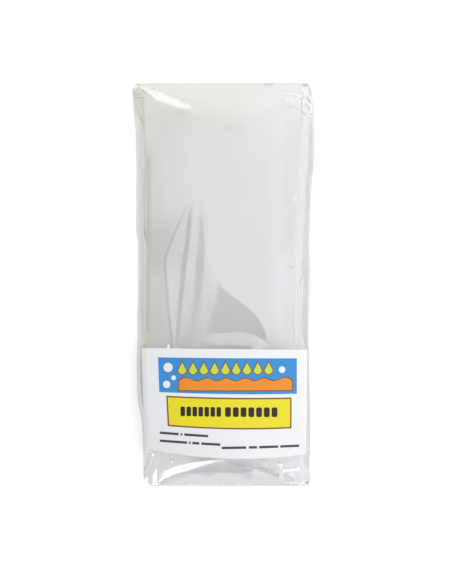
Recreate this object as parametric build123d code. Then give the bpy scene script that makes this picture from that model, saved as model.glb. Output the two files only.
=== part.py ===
from build123d import *
from functools import cache
from math import sqrt
import os

# A clear film bag, puffed with air and lying on its back, with a paper label round its front.
# X runs across the bag, Y from its foot to its closed mouth, and Z up. All sizes are millimetres.
# The origin is under the middle of the bag, on the surface that it lies on.

bag_length = 222.0
half_length = bag_length / 2

# Stations along the bag, from foot to mouth: place along the length, reach of the left and the
# right side, height of the crown, and height of the crease where the front turns into the sides.
bag_stations = [
    (-half_length, 45.0, 47.0, 12.5, 2.0),
    (-95.0, 45.4, 47.1, 14.2, 7.2),
    (-72.0, 46.8, 47.0, 15.0, 10.4),
    (-36.0, 48.6, 46.8, 14.6, 10.6),
    (18.0, 47.8, 48.0, 13.2, 9.4),
    (60.0, 48.8, 48.2, 12.0, 8.0),
    (92.0, 50.2, 49.8, 10.6, 5.4),
    (half_length, 50.6, 50.0, 9.6, 1.6),
]
front_crease_inset = 6.0
back_crease_inset = 3.2
back_trim = 0.4

# The film turns down from the crown to a flat lip at both ends.
lip_height = 1.0
foot_facet_run = 15.0
foot_facet_rise = 13.6
mouth_facet_run = 13.0
mouth_facet_rise = 8.8
foot_corner_cut = 4.2
mouth_corner_cut = 1.6

# Buckles in the film, pointed at both ends: one tip, the other tip, width and depth. The first
# is the long leaf beside the middle, with a narrow one along it. The others pull in from the
# corners and across the right side.
buckles = [
    ((-18.4, 44.5), (-27.0, -34.8), 13.0, 2.4),
    ((-12.4, 32.0), (-20.6, -34.0), 4.4, 0.8),
    ((-46.4, 109.0), (-22.0, 98.0), 4.6, 0.9),
    ((44.4, 107.6), (31.0, 96.6), 5.0, 1.1),
    ((47.2, 104.0), (42.4, 88.0), 4.0, 0.9),
    ((45.0, -107.6), (29.6, -98.2), 4.8, 1.0),
    ((45.8, 14.0), (35.4, 9.4), 3.6, 0.6),
]

# A shallow fin-shaped buckle above the label, deepest along its straight lower edge.
fin_outline = [(-8.0, -27.4), (-2.5, -1.4), (5.2, -8.0), (16.8, -15.2), (20.6, -21.0), (21.8, -27.8)]
fin_top_y = -1.0
fin_foot_y = -28.0
fin_floor_at_top = 13.5
fin_floor_at_foot = 12.4

# Thickness of the paper and of each field of print on it.
paper_thickness = 0.25
print_thickness = 0.1

# Label outline in plan, wrapped round the sides: it lies a little askew, and its foot is bowed.
label_top_left = (-45.4, -34.5)
label_top_right = (45.2, -35.5)
label_foot_left = (-43.2, -89.6)
label_foot_middle = (4.0, -94.4)
label_foot_right = (44.4, -92.8)

# Printed fields, askew with the label: corners from top left, clockwise, and the sag of the top
# and the foot. They are a blue banner, and a yellow title panel with a thin border.
banner_corners = [(-36.1, -39.6), (39.3, -40.2), (39.3, -59.4), (-35.4, -58.4)]
banner_sags = (0.0, 0.4)
panel_corners = [(-31.6, -60.4), (36.4, -61.4), (36.4, -78.2), (-30.8, -76.9)]
panel_sags = (0.4, 0.8)
border_width = 0.8

# A row of drops falling into a wave on the banner, both edged with a thin line, and bubbles.
drop_count = 9
drop_pitch = 5.85
drop_radius = 2.2
drop_tip_rise = 4.2
first_drop_x = -22.9
drop_row_y = -46.4
wave_left, wave_right = -24.6, 36.6
wave_foot = -57.3
wave_middle = -51.6
wave_height = 0.8
wave_crests = 6
motif_edge_width = 0.5
bubbles = [(-30.6, -45.0, 2.5), (-27.6, -50.6, 1.3), (-31.4, -54.2, 2.0), (31.2, -46.2, 1.8)]

# Blocks that fill the title line, in two groups: first place, count and pitch. The line of the
# title and of each row of small print runs from one point to another.
title_line = ((-24.2, -68.7), (28.9, -69.3))
title_groups = [(-22.6, 7, 3.25), (1.9, 7, 4.2)]
title_block_share = 0.74
title_block_height = 5.2
small_bar_height = 1.3
small_rows = [
    ((-35.2, -80.6), (-8.9, -82.1), [(-35.2, -24.9), (-23.8, -22.9), (-21.8, -8.9)]),
    ((-35.2, -85.0), (-2.3, -86.7), [(-35.2, -20.3), (-19.2, -18.4), (-17.4, -13.7), (-12.5, -2.3)]),
    ((-1.5, -88.5), (40.7, -87.9), [(-1.5, 11.7), (13.2, 17.6), (18.8, 29.2), (30.3, 40.7)]),
]

overshoot = 30.0


def side_curve(foot, head, side, skin):
    """One side of the section, bellied out from the back's edge to the front crease."""
    belly = (front_crease_inset + back_crease_inset) / 6
    reach = max(side * foot[0] + back_crease_inset, side * head[0] + front_crease_inset)
    bulge_x = side * (reach + belly + skin * 0.6)
    return Bezier(foot, (bulge_x, head[1] * 0.1), (bulge_x, head[1] * 0.8), head)


def section_face(y, left, right, crown, crease, skin):
    """Section across the bag: bellied sides and a crowned front, grown by skin. Its back is a
    little low, and is trimmed to a true plane later."""
    back_left = (-left + back_crease_inset, -back_trim)
    back_right = (right - back_crease_inset, -back_trim)
    front_left = (-left + front_crease_inset - skin * 0.4, crease + skin * 0.92)
    front_right = (right - front_crease_inset + skin * 0.4, crease + skin * 0.92)
    crown_control = ((right - left) / 2, 2 * (crown + skin) - front_left[1])
    outline = [
        Line(back_left, back_right),
        side_curve(back_right, front_right, 1, skin),
        Bezier(front_right, crown_control, front_left),
        side_curve(back_left, front_left, -1, skin),
    ]
    # The sketch plane stands across the bag: its X is the bag's X and its Y is up.
    across = Plane(origin=(0, y, 0), x_dir=(1, 0, 0), z_dir=(0, -1, 0))
    return across * make_face(outline)


@cache
def puffed_form(skin=0.0):
    """The bag without its end facets and buckles, grown outwards by skin."""
    return loft([section_face(*station, skin) for station in bag_stations])


def end_wedge(side, run, rise):
    """Everything above the facet that slopes from the crown down to the lip of one end."""
    slope = rise / run
    profile = Polyline(
        (side * (half_length + 1), lip_height - slope),
        (side * (half_length - run - overshoot), lip_height + slope * (run + overshoot)),
        (side * (half_length + 1), lip_height + slope * (run + overshoot)),
        close=True,
    )
    # The sketch plane stands along the bag: its X is the bag's Y and its Y is up.
    along = Plane(origin=(-bag_length, 0, 0), x_dir=(0, 1, 0), z_dir=(1, 0, 0))
    return extrude(along * make_face(profile), 2 * bag_length)


def corner_wedge(side_x, side_y, reach, cut):
    """The small triangle that a folded corner takes off the plan outline."""
    corner = (side_x * reach, side_y * half_length)
    outline = Polyline(
        (corner[0] - side_x * cut, corner[1] + side_y * 0.01),
        (corner[0] + side_x * 2, corner[1] + side_y * 0.01),
        (corner[0] + side_x * 2, corner[1] - side_y * (cut + 2)),
        close=True,
    )
    return extrude(make_face(outline), overshoot)


def front_height(x, y):
    """Height of the front at a place: the crowned front, or the facet of the nearer end."""
    for foot, head in zip(bag_stations, bag_stations[1:]):
        if y <= head[0]:
            break
    share = (y - foot[0]) / (head[0] - foot[0])
    left, right, crown, crease = (
        low + share * (high - low) for low, high in zip(foot[1:], head[1:])
    )
    half_front = (left + right) / 2 - front_crease_inset
    middle = (right - left) / 2
    crowned = crown - (crown - crease) * ((x - middle) / half_front) ** 2
    foot_facet = lip_height + (half_length + y) * foot_facet_rise / foot_facet_run
    mouth_facet = lip_height + (half_length - y) * mouth_facet_rise / mouth_facet_run
    return min(crowned, foot_facet, mouth_facet)


def buckle(tip, foot, width, depth):
    """A long spindle lying on the front, whose lower side presses in a buckle of this size."""
    run = Vector(tip[0] - foot[0], tip[1] - foot[1], 0)
    radius = (width**2 / 4 + depth**2) / (2 * depth)
    length = run.length / sqrt(depth / radius)
    bow = ThreePointArc((0, -length / 2), (radius, 0), (0, length / 2))
    spindle = revolve(make_face([bow, Line((0, length / 2), (0, -length / 2))]), axis=Axis.Y)
    middle = ((tip[0] + foot[0]) / 2, (tip[1] + foot[1]) / 2)
    lie_along = Plane(
        origin=(*middle, front_height(*middle) + radius - depth),
        x_dir=Vector(run.Y, -run.X, 0),
        z_dir=(0, 0, 1),
    )
    return lie_along * spindle


def fin_wedge():
    """A shallow wedge whose sloping floor leaves the fin-shaped buckle in the front."""
    prism = extrude(make_face(Polyline(*fin_outline, close=True)), overshoot)
    floor = Polyline(
        (fin_top_y, fin_floor_at_top),
        (fin_foot_y, fin_floor_at_foot),
        (fin_foot_y, overshoot),
        (fin_top_y, overshoot),
        close=True,
    )
    along = Plane(origin=(-half_length, 0, 0), x_dir=(0, 1, 0), z_dir=(1, 0, 0))
    return prism & extrude(along * make_face(floor), bag_length)


def below_the_back():
    """What the surface that the bag lies on takes away, which leaves its back flat."""
    return Pos(0, 0, -overshoot / 2) * Box(bag_length, 2 * bag_length, overshoot)


def film_bag():
    bag = puffed_form()
    bag -= end_wedge(-1, foot_facet_run, foot_facet_rise)
    bag -= end_wedge(1, mouth_facet_run, mouth_facet_rise)
    bag -= corner_wedge(-1, -1, bag_stations[0][1], foot_corner_cut)
    bag -= corner_wedge(-1, 1, bag_stations[-1][1], mouth_corner_cut)
    bag -= corner_wedge(1, 1, bag_stations[-1][2], mouth_corner_cut)
    for tip, foot, width, depth in buckles:
        bag -= buckle(tip, foot, width, depth)
    bag -= fin_wedge()
    return bag - below_the_back()


def wrapped(sketch, inner_skin, outer_skin):
    """A thin sheet of the sketch's outline, wrapped on the bag between two skins of its form."""
    prism = Pos(0, 0, lip_height * 2) * extrude(sketch, overshoot)
    return (puffed_form(outer_skin) & prism) - puffed_form(inner_skin)


def label_outline():
    return make_face([
        Line(label_top_left, label_top_right),
        Line(label_top_right, label_foot_right),
        ThreePointArc(label_foot_right, label_foot_middle, label_foot_left),
        Line(label_foot_left, label_top_left),
    ])


def sagging_edge(start, end, sag):
    """An edge from one corner to the next, whose middle hangs down by the sag."""
    if sag == 0:
        return Line(start, end)
    middle = ((start[0] + end[0]) / 2, (start[1] + end[1]) / 2 - sag)
    return ThreePointArc(start, middle, end)


def printed_field(corners, sags, inset=0.0):
    """A four-cornered field with a sagging top and foot, drawn in all round by the inset."""
    sides = [(-1, 1), (1, 1), (1, -1), (-1, -1)]
    top_left, top_right, foot_right, foot_left = [
        (x - side_x * inset, y - side_y * inset) for (x, y), (side_x, side_y) in zip(corners, sides)
    ]
    return make_face([
        sagging_edge(top_left, top_right, sags[0]),
        Line(top_right, foot_right),
        sagging_edge(foot_right, foot_left, sags[1]),
        Line(foot_left, top_left),
    ])


def height_on(line, x):
    """The y of a straight line of print at a place across the label."""
    (start_x, start_y), (end_x, end_y) = line
    return start_y + (end_y - start_y) * (x - start_x) / (end_x - start_x)


def drop_outline(x, y, margin):
    """A drop, round below and pointed above, grown by a margin."""
    radius = drop_radius + margin
    tip = (x, y + drop_tip_rise + margin * 2.2)
    left = (x - radius, y)
    right = (x + radius, y)
    return make_face([
        ThreePointArc(left, (x, y - radius), right),
        Line(right, tip),
        Line(tip, left),
    ])


def drops(margin=0.0):
    places = [first_drop_x + drop_pitch * number for number in range(drop_count)]
    return [drop_outline(x, drop_row_y, margin) for x in places]


def wave(margin=0.0):
    """A band with a flat foot and a wavy top of evenly spaced crests, grown by a margin."""
    left, right = wave_left - margin, wave_right + margin
    half_wave = (right - left) / (2 * wave_crests)
    top = [
        (left + half_wave * number, wave_middle + margin + wave_height * (-1) ** (number + 1))
        for number in range(2 * wave_crests + 1)
    ]
    foot_left, foot_right = (left, wave_foot - margin), (right, wave_foot - margin)
    return make_face([
        Spline(*top),
        Line(top[-1], foot_right),
        Line(foot_right, foot_left),
        Line(foot_left, top[0]),
    ])


def bubble_discs():
    return [Pos(x, y) * Circle(radius) for x, y, radius in bubbles]


def title_blocks():
    blocks = []
    for start, count, pitch in title_groups:
        width = pitch * title_block_share
        block = RectangleRounded(width, title_block_height, width * 0.3)
        for number in range(count):
            x = start + pitch * number
            blocks.append(Pos(x, height_on(title_line, x)) * block)
    return blocks


def small_bar(line, left, right):
    """A thin bar on a line of small print, which runs as the line does."""
    half_height = small_bar_height / 2
    left_y, right_y = height_on(line, left), height_on(line, right)
    return make_face(Polyline(
        (left, left_y - half_height),
        (right, right_y - half_height),
        (right, right_y + half_height),
        (left, left_y + half_height),
        close=True,
    ))


def small_print_bars():
    return [
        small_bar((start, end), left, right)
        for start, end, spans in small_rows
        for left, right in spans
    ]


def printed(sketches, layer):
    """Fields of print, one solid each: layer 0 lies on the paper and each other on the last."""
    inner_skin = paper_thickness + print_thickness * layer
    fields = []
    for sketch in sketches:
        fields += wrapped(sketch, inner_skin, inner_skin + print_thickness).solids()
    return Compound(fields)


parts = {
    "film_bag": film_bag(),
    "label_sheet": wrapped(label_outline(), 0.0, paper_thickness),
    "print_banner": printed([printed_field(banner_corners, banner_sags)], 0),
    "print_bubbles": printed(bubble_discs(), 1),
    "print_motif_edges": printed([*drops(motif_edge_width), wave(motif_edge_width)], 1),
    "print_drops": printed(drops(), 2),
    "print_wave": printed([wave()], 2),
    "print_title_border": printed([printed_field(panel_corners, panel_sags)], 0),
    "print_title_panel": printed([printed_field(panel_corners, panel_sags, border_width)], 1),
    "print_title_blocks": printed(title_blocks(), 2),
    "print_small_bars": printed(small_print_bars(), 0),
}

os.makedirs("parts", exist_ok=True)
for name, shape in parts.items():
    export_step(shape, f"parts/{name}.step")
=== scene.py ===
import bmesh
import bpy
import math
import numpy as np
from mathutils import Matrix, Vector
from mathutils.bvhtree import BVHTree


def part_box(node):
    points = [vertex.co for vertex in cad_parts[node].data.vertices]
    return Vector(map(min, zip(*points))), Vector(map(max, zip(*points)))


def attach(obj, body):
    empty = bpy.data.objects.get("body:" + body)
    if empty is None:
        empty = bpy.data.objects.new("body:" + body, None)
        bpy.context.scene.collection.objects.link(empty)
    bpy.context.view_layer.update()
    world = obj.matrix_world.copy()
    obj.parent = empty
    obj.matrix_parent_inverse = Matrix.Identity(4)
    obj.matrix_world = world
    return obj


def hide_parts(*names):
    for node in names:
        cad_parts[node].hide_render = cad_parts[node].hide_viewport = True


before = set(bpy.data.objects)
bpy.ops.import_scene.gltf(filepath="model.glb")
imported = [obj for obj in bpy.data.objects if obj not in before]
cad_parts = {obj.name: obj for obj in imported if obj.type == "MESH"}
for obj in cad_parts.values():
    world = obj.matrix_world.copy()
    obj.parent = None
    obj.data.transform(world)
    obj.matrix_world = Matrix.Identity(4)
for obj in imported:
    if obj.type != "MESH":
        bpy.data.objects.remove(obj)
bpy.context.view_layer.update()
mm = 0.001
filmLow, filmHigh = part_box("film_bag")
halfLength = (filmHigh.y - filmLow.y) / 2 / mm
print("frame loaded, bag length", round(2 * halfLength, 1), "mm")


def smooth(low, high, value):
    share = np.clip((value - low) / (high - low), 0, 1)
    return share * share * (3 - 2 * share)


def softMin(first, second, radius):
    # the lower of two heights, with the crease between them rounded to this radius
    blend = np.clip(0.5 + 0.5 * (second - first) / radius, 0, 1)
    return second + (first - second) * blend - radius * blend * (1 - blend)


def curveThrough(places, values, at):
    # a smooth curve through a few given values, which never overshoots them
    places = np.array(places, float)
    values = np.array(values, float)
    steps = np.diff(values) / np.diff(places)
    slopes = np.concatenate([[steps[0]], (steps[1:] + steps[:-1]) / 2, [steps[-1]]])
    turns = np.concatenate([[False], steps[1:] * steps[:-1] <= 0, [False]])
    slopes[turns] = 0
    at = np.clip(at, places[0], places[-1])
    spot = np.clip(np.searchsorted(places, at) - 1, 0, len(places) - 2)
    width = places[spot + 1] - places[spot]
    t = (at - places[spot]) / width
    start, end = values[spot], values[spot + 1]
    leave, arrive = slopes[spot] * width, slopes[spot + 1] * width
    return (
        start * (2 * t**3 - 3 * t**2 + 1) + leave * (t**3 - 2 * t**2 + t)
        + end * (3 * t**2 - 2 * t**3) + arrive * (t**3 - t**2)
    )


def distanceTo(path, x, y):
    # distance from each point to a line through the path's points, and the share along it
    path = np.array(path, float)
    lengths = np.linalg.norm(np.diff(path, axis=0), axis=1)
    total = lengths.sum()
    best = np.full(x.shape, 1e9)
    place = np.zeros(x.shape)
    before = 0.0
    for (ax, ay), (bx, by), length in zip(path, path[1:], lengths):
        t = np.clip(((x - ax) * (bx - ax) + (y - ay) * (by - ay)) / length**2, 0, 1)
        away = np.hypot(x - ax - t * (bx - ax), y - ay - t * (by - ay))
        nearer = away < best
        best = np.where(nearer, away, best)
        place = np.where(nearer, (before + t * length) / total, place)
        before += length
    return best, place


def ripple(x, y, seed, size, stretch=1.0):
    # slow waves in many directions, from -1 to 1
    rng = np.random.default_rng(seed)
    waveCount, shortest, longest, strongest = 14, 0.6, 1.8, 6
    total = np.zeros(x.shape)
    for _ in range(waveCount):
        turn = rng.uniform(0, 2 * math.pi)
        length = size * rng.uniform(shortest, longest)
        phase = rng.uniform(0, 2 * math.pi)
        along = x * math.cos(turn) + y * math.sin(turn) / stretch
        total += np.sin(along * 2 * math.pi / length + phase)
    return total / strongest


def newObject(name, data):
    placed = bpy.data.objects.new(name, data)
    bpy.context.scene.collection.objects.link(placed)
    return placed


def meshPiece(name, points, faces, body="root"):
    mesh = bpy.data.meshes.new(name)
    mesh.from_pydata([tuple(point) for point in points], [], faces)
    mesh.validate()
    mesh.update()
    piece = newObject(name, mesh)
    for polygon in mesh.polygons:
        polygon.use_smooth = True
    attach(piece, body)
    return piece


def newGroup(name, inputs, outputs):
    group = bpy.data.node_groups.new(name, "ShaderNodeTree")
    for socketName, socketType, value in inputs:
        socket = group.interface.new_socket(socketName, in_out="INPUT", socket_type=socketType)
        socket.default_value = value
    for socketName, socketType in outputs:
        group.interface.new_socket(socketName, in_out="OUTPUT", socket_type=socketType)
    enter = group.nodes.new("NodeGroupInput")
    leave = group.nodes.new("NodeGroupOutput")
    return group, enter, leave


def addNode(tree, kind, **values):
    # each value is one of the node's own settings, or else the input of that name
    node = tree.nodes.new(kind)
    for key, value in values.items():
        if hasattr(node, key):
            setattr(node, key, value)
        else:
            node.inputs[key].default_value = value
    return node


def mathNode(tree, operation, first, second=None):
    node = tree.nodes.new("ShaderNodeMath")
    node.operation = operation
    for slotIndex, value in enumerate((first, second)):
        if value is None:
            continue
        if isinstance(value, (int, float)):
            node.inputs[slotIndex].default_value = value
        else:
            tree.links.new(value, node.inputs[slotIndex])
    return node.outputs[0]


def vectorNode(tree, operation, first, second):
    node = addNode(tree, "ShaderNodeVectorMath", operation=operation)
    for socket, value in zip(node.inputs, (first, second)):
        if isinstance(value, tuple):
            socket.default_value = value
        else:
            tree.links.new(value, socket)
    return node


def mapRange(tree, value, start, end, low=0.0, high=1.0, soft=False):
    # from low at start to high at end, in a straight line or softly
    node = addNode(tree, "ShaderNodeMapRange", interpolation_type="SMOOTHSTEP" if soft else "LINEAR")
    for name, number in (("From Min", start), ("From Max", end), ("To Min", low), ("To Max", high)):
        node.inputs[name].default_value = number
    tree.links.new(value, node.inputs["Value"])
    return node.outputs["Result"]


def placeGroup(tree, group, values):
    node = addNode(tree, "ShaderNodeGroup", node_tree=group)
    for name, value in values.items():
        node.inputs[name].default_value = value
    return node


def addBump(tree, shader, height, distance, strength):
    bump = addNode(tree, "ShaderNodeBump", Distance=distance, Strength=strength)
    tree.links.new(height, bump.inputs["Height"])
    tree.links.new(bump.outputs["Normal"], shader.inputs["Normal"])


def makeFilmRipples():
    # long faint waves and a fine orange-peel, as a height in metres
    group, enter, leave = newGroup(
        "filmRipples",
        [("Wave Size", "NodeSocketFloat", 60.0), ("Wave Height", "NodeSocketFloat", 0.0003),
         ("Peel Height", "NodeSocketFloat", 0.00001)],
        [("Height", "NodeSocketFloat")],
    )
    coords = addNode(group, "ShaderNodeTexCoord")
    stretchIt = addNode(group, "ShaderNodeMapping")
    stretchIt.inputs["Scale"].default_value = (1.0, 0.35, 1.0)
    group.links.new(coords.outputs["Object"], stretchIt.inputs["Vector"])
    waves = addNode(group, "ShaderNodeTexNoise", Detail=2.0)
    group.links.new(stretchIt.outputs[0], waves.inputs["Vector"])
    group.links.new(enter.outputs["Wave Size"], waves.inputs["Scale"])
    peel = addNode(group, "ShaderNodeTexNoise", Scale=900.0, Detail=1.0)
    group.links.new(coords.outputs["Object"], peel.inputs["Vector"])
    waveHeight = mathNode(group, "MULTIPLY", waves.outputs["Fac"], enter.outputs["Wave Height"])
    peelHeight = mathNode(group, "MULTIPLY", peel.outputs["Fac"], enter.outputs["Peel Height"])
    group.links.new(mathNode(group, "ADD", waveHeight, peelHeight), leave.inputs["Height"])
    return group


def makePaperGrain():
    # soft fibres: a slight change of shade and a fine height
    group, enter, leave = newGroup(
        "paperGrain",
        [("Colour", "NodeSocketColor", (0.9, 0.9, 0.9, 1.0)), ("Shade", "NodeSocketFloat", 0.04)],
        [("Colour", "NodeSocketColor"), ("Height", "NodeSocketFloat"),
         ("Roughness", "NodeSocketFloat")],
    )
    coords = addNode(group, "ShaderNodeTexCoord")
    fibres = addNode(group, "ShaderNodeTexNoise", Scale=1400.0, Detail=4.0, Roughness=0.6)
    clouds = addNode(group, "ShaderNodeTexNoise", Scale=120.0, Detail=2.0)
    group.links.new(coords.outputs["Object"], fibres.inputs["Vector"])
    group.links.new(coords.outputs["Object"], clouds.inputs["Vector"])
    both = mathNode(group, "ADD", fibres.outputs["Fac"], clouds.outputs["Fac"])
    dip = mathNode(group, "MULTIPLY", mathNode(group, "SUBTRACT", both, 1.0), enter.outputs["Shade"])
    level = mathNode(group, "ADD", dip, 1.0)
    tint = addNode(group, "ShaderNodeVectorMath", operation="SCALE")
    group.links.new(enter.outputs["Colour"], tint.inputs[0])
    group.links.new(level, tint.inputs["Scale"])
    group.links.new(tint.outputs[0], leave.inputs["Colour"])
    group.links.new(fibres.outputs["Fac"], leave.inputs["Height"])
    rough = mapRange(group, fibres.outputs["Fac"], 0, 1, low=0.42, high=0.58)
    group.links.new(rough, leave.inputs["Roughness"])
    return group


def makeHairline():
    # a mask along one straight fold, 1 at its middle and 0 past its half width, seen from above
    group, enter, leave = newGroup(
        "hairline",
        [("Place", "NodeSocketVector", (0, 0, 0)), ("Start", "NodeSocketVector", (0, 0, 0)),
         ("Run", "NodeSocketVector", (0.001, 0, 0)), ("Half Width", "NodeSocketFloat", 0.0005),
         ("Strength", "NodeSocketFloat", 1.0)],
        [("Mask", "NodeSocketFloat")],
    )
    past = vectorNode(group, "SUBTRACT", enter.outputs["Place"], enter.outputs["Start"])
    run = enter.outputs["Run"]
    dot = vectorNode(group, "DOT_PRODUCT", past.outputs[0], run).outputs["Value"]
    square = vectorNode(group, "DOT_PRODUCT", run, run).outputs["Value"]
    share = mathNode(group, "MAXIMUM", mathNode(group, "DIVIDE", dot, square), 0.0)
    share = mathNode(group, "MINIMUM", share, 1.0)
    along = addNode(group, "ShaderNodeVectorMath", operation="SCALE")
    group.links.new(run, along.inputs[0])
    group.links.new(share, along.inputs["Scale"])
    away = vectorNode(group, "DISTANCE", past.outputs[0], along.outputs[0]).outputs["Value"]
    away = mathNode(group, "DIVIDE", away, enter.outputs["Half Width"])
    ease = mapRange(group, away, 1.0, 0.2, soft=True)
    mask = mathNode(group, "MULTIPLY", ease, enter.outputs["Strength"])
    group.links.new(mask, leave.inputs["Mask"])
    return group


filmRipples = makeFilmRipples()
hairline = makeHairline()
paperGrain = makePaperGrain()


def newMaterial(name):
    material = bpy.data.materials.new(name)
    material.use_nodes = True
    return material, material.node_tree, material.node_tree.nodes["Principled BSDF"]


film = {
    # place along the bag and the reach of its left and right outline, in mm
    "outline": [
        (-111.0, 44.6, 46.4), (-107.5, 44.6, 47.1), (-101.0, 44.8, 46.8), (-91.0, 44.6, 47.1),
        (-85.0, 44.9, 47.0), (-75.0, 45.4, 46.9), (-71.5, 45.8, 47.0), (-68.0, 46.7, 46.9),
        (-64.5, 47.4, 46.8), (-58.0, 47.8, 46.6), (-45.0, 48.0, 46.4), (-30.0, 48.0, 46.6),
        (-18.0, 48.1, 46.7), (-8.0, 47.8, 47.0), (2.0, 47.7, 47.5), (12.0, 47.6, 47.3),
        (21.0, 47.6, 47.0), (25.0, 48.0, 47.0), (31.0, 48.7, 47.3), (41.0, 48.6, 47.6),
        (51.0, 48.7, 47.8), (58.0, 48.5, 48.4), (64.0, 48.5, 49.2), (71.0, 48.7, 49.7),
        (84.0, 49.0, 49.6), (88.0, 49.3, 49.5), (92.0, 49.7, 49.4), (98.0, 50.2, 49.5),
        (103.0, 50.5, 48.4), (107.0, 50.9, 48.0), (109.0, 50.2, 47.6), (111.0, 48.3, 46.4),
    ],
    # place along the bag, height of the crown and of the crease where the front turns down
    "heights": [
        (-111.0, 11.8, 1.2), (-95.0, 14.0, 6.8), (-72.0, 15.0, 10.4), (-36.0, 14.6, 10.6),
        (18.0, 13.2, 9.4), (60.0, 12.0, 8.0), (92.0, 10.6, 5.4), (111.0, 9.6, 1.6),
    ],
    # the sides seen from above: distance in from the outline, share of the crease's height
    "leftSide": [(0.0, 0.10), (0.8, 0.24), (2.2, 0.48), (3.6, 0.67), (4.8, 0.80), (6.4, 0.93),
                 (8.0, 1.0)],
    "headSide": [(0.0, 0.10), (1.0, 0.27), (2.4, 0.51), (3.8, 0.75), (5.2, 0.96), (6.6, 1.10),
                 (8.0, 1.25)],
    "rightSide": [(0.0, 0.12), (0.8, 0.28), (2.2, 0.53), (4.0, 0.78), (5.2, 0.88), (6.6, 0.95),
                  (8.0, 1.0)],
    "labelSide": [(0.0, 0.46), (0.3, 0.56), (1.2, 0.71), (2.8, 0.86), (4.4, 0.945), (6.0, 1.0),
                  (8.0, 1.02)],
    # where along the bag the sides change: none of the next kind, then all of it
    "labelTop": (-25.0, -35.0), "labelFoot": (-96.0, -91.0), "headRun": (50.0, 80.0),
    # where the front starts, how far its crown may fall, and how round its crease is
    "frontInset": 6.0, "mostFall": 1.2, "sideRound": 0.4,
    # how far the back is tucked in, the cut of the foot's left corner, and the height of its lip
    "backInset": 3.2, "footCornerCut": 4.2, "lip": 0.7,
    # the foot's facet is steep up to a wavering line, then gentler, then gentler still on its left:
    # place across, distance in from the foot
    "footBreak": [(-45.0, 0.8), (-38.0, 1.2), (-33.0, 4.0), (-29.0, 5.9), (-24.0, 7.4), (-19.0, 8.5),
                  (-14.0, 8.9), (-8.0, 9.0), (0.0, 9.0), (8.0, 8.8), (14.0, 9.6), (20.0, 11.6),
                  (26.0, 14.6), (48.0, 16.0)],
    "bandBreak": [(-45.0, 1.5), (-38.0, 1.9), (-33.0, 4.8), (-30.7, 6.1), (-24.0, 8.4), (-19.3, 10.0),
                  (-15.0, 11.7), (-11.1, 13.3), (-7.0, 14.6), (-4.0, 15.6), (-1.0, 17.0), (6.0, 24.0),
                  (12.0, 30.0), (48.0, 30.0)],
    "footSteep": 0.96, "footGentle": 0.66, "footBand": 0.5, "footEase": 0.8,
    # the mouth's facet: distance in from the end, and height
    "mouthFacet": [(0.0, 0.7), (2.0, 2.1), (6.0, 4.9), (10.0, 7.6), (13.5, 9.4), (18.0, 11.4),
                   (25.0, 14.0)],
    # how round the crease is along the foot's facet, from left to right, and along the mouth's
    "footRound": [(-5.0, 1.0), (12.0, 2.6)], "mouthRound": 2.6,
    # rings along the bag, steps round it, and how much closer the steps stand at the sides
    "ringShares": [(0.0, -111.0), (0.10, -91.0), (0.20, -37.0), (1.0, 111.0)], "rings": 460,
    "topSteps": 190, "underSteps": 8, "backSteps": 3, "crowding": 0.10,
    "backClear": 0.08, "labelClear": 0.08,
    # slow ripples in the sheet, calmer towards both ends
    "rippleHeight": 0.09, "rippleSize": 26.0, "rippleSeed": 11, "rippleStretch": 2.2,
    "calm": 0.7, "calmFoot": (-86.0, -92.0), "calmMouth": (82.0, 90.0),
    # the share of a crease's length over which it fades out at each end
    "creaseEnds": 0.12,
    # how hairline folds waver, in metres, and the finer ripples of the gloss
    "waverScale": 260.0, "waver": 0.0010,
    "waveSize": 45.0, "waveHeight": 0.0006, "peelHeight": 0.000001,
    # how much of the light the film turns back: all over, at a slant, where light is painted on, and along
    # folds painted as highlights
    "cover": 0.24, "edgeCover": 0.25, "paintedLightCover": 0.6, "paintedGlintCover": 0.75, "mostCover": 0.97,
    # what it turns back: a clear film mirrors, and where light or a highlight is painted on it turns back
    # white
    "mirror": 0.85, "clearShade": 0.80, "paintedPaleShade": 0.98, "paintedGlintClouds": 1.8,
    "roughness": 0.06, "ior": 1.5,
    "clearTint": (0.91, 0.91, 0.907, 1), "edgeTint": (0.74, 0.75, 0.71, 1),
    # the tint that paints shade along the dark hairline folds
    "paintedCreaseShade": (0.62, 0.63, 0.60, 1),
}

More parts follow.
